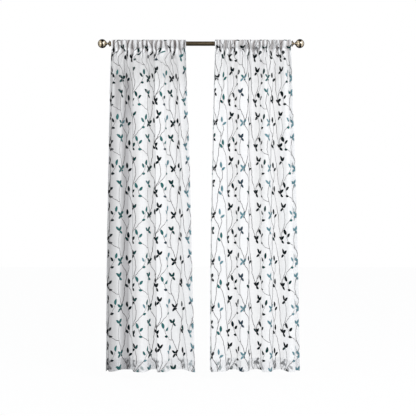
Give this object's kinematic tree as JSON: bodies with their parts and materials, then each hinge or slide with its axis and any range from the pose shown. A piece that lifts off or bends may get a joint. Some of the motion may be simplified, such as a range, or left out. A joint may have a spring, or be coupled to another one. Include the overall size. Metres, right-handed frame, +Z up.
{
  "type": "sheer voile curtain panels on a curtain rod",
  "caption": "Sheer white voile rod-pocket curtain panels with embroidered leaf vines, gathered on a round metal curtain rod with ball finials.",
  "frame": {"origin": "on the rod's axis, halfway between its two ends", "axes": "+X along the rod to the viewer's right, -Y towards the viewer, +Z up"},
  "size_m": [1.331, 0.1004, 2.138],
  "materials": {
    "voile": "sheer plain-weave polyester voile, matte, light passes through",
    "antique_brass": "antique brass, satin with darker toning"
  },
  "bodies": {
    "root": {"panel_left": "voile", "panel_right": "voile", "rod": "antique_brass", "finial_left": "antique_brass", "finial_right": "antique_brass"}
  },
  "joints": []
}
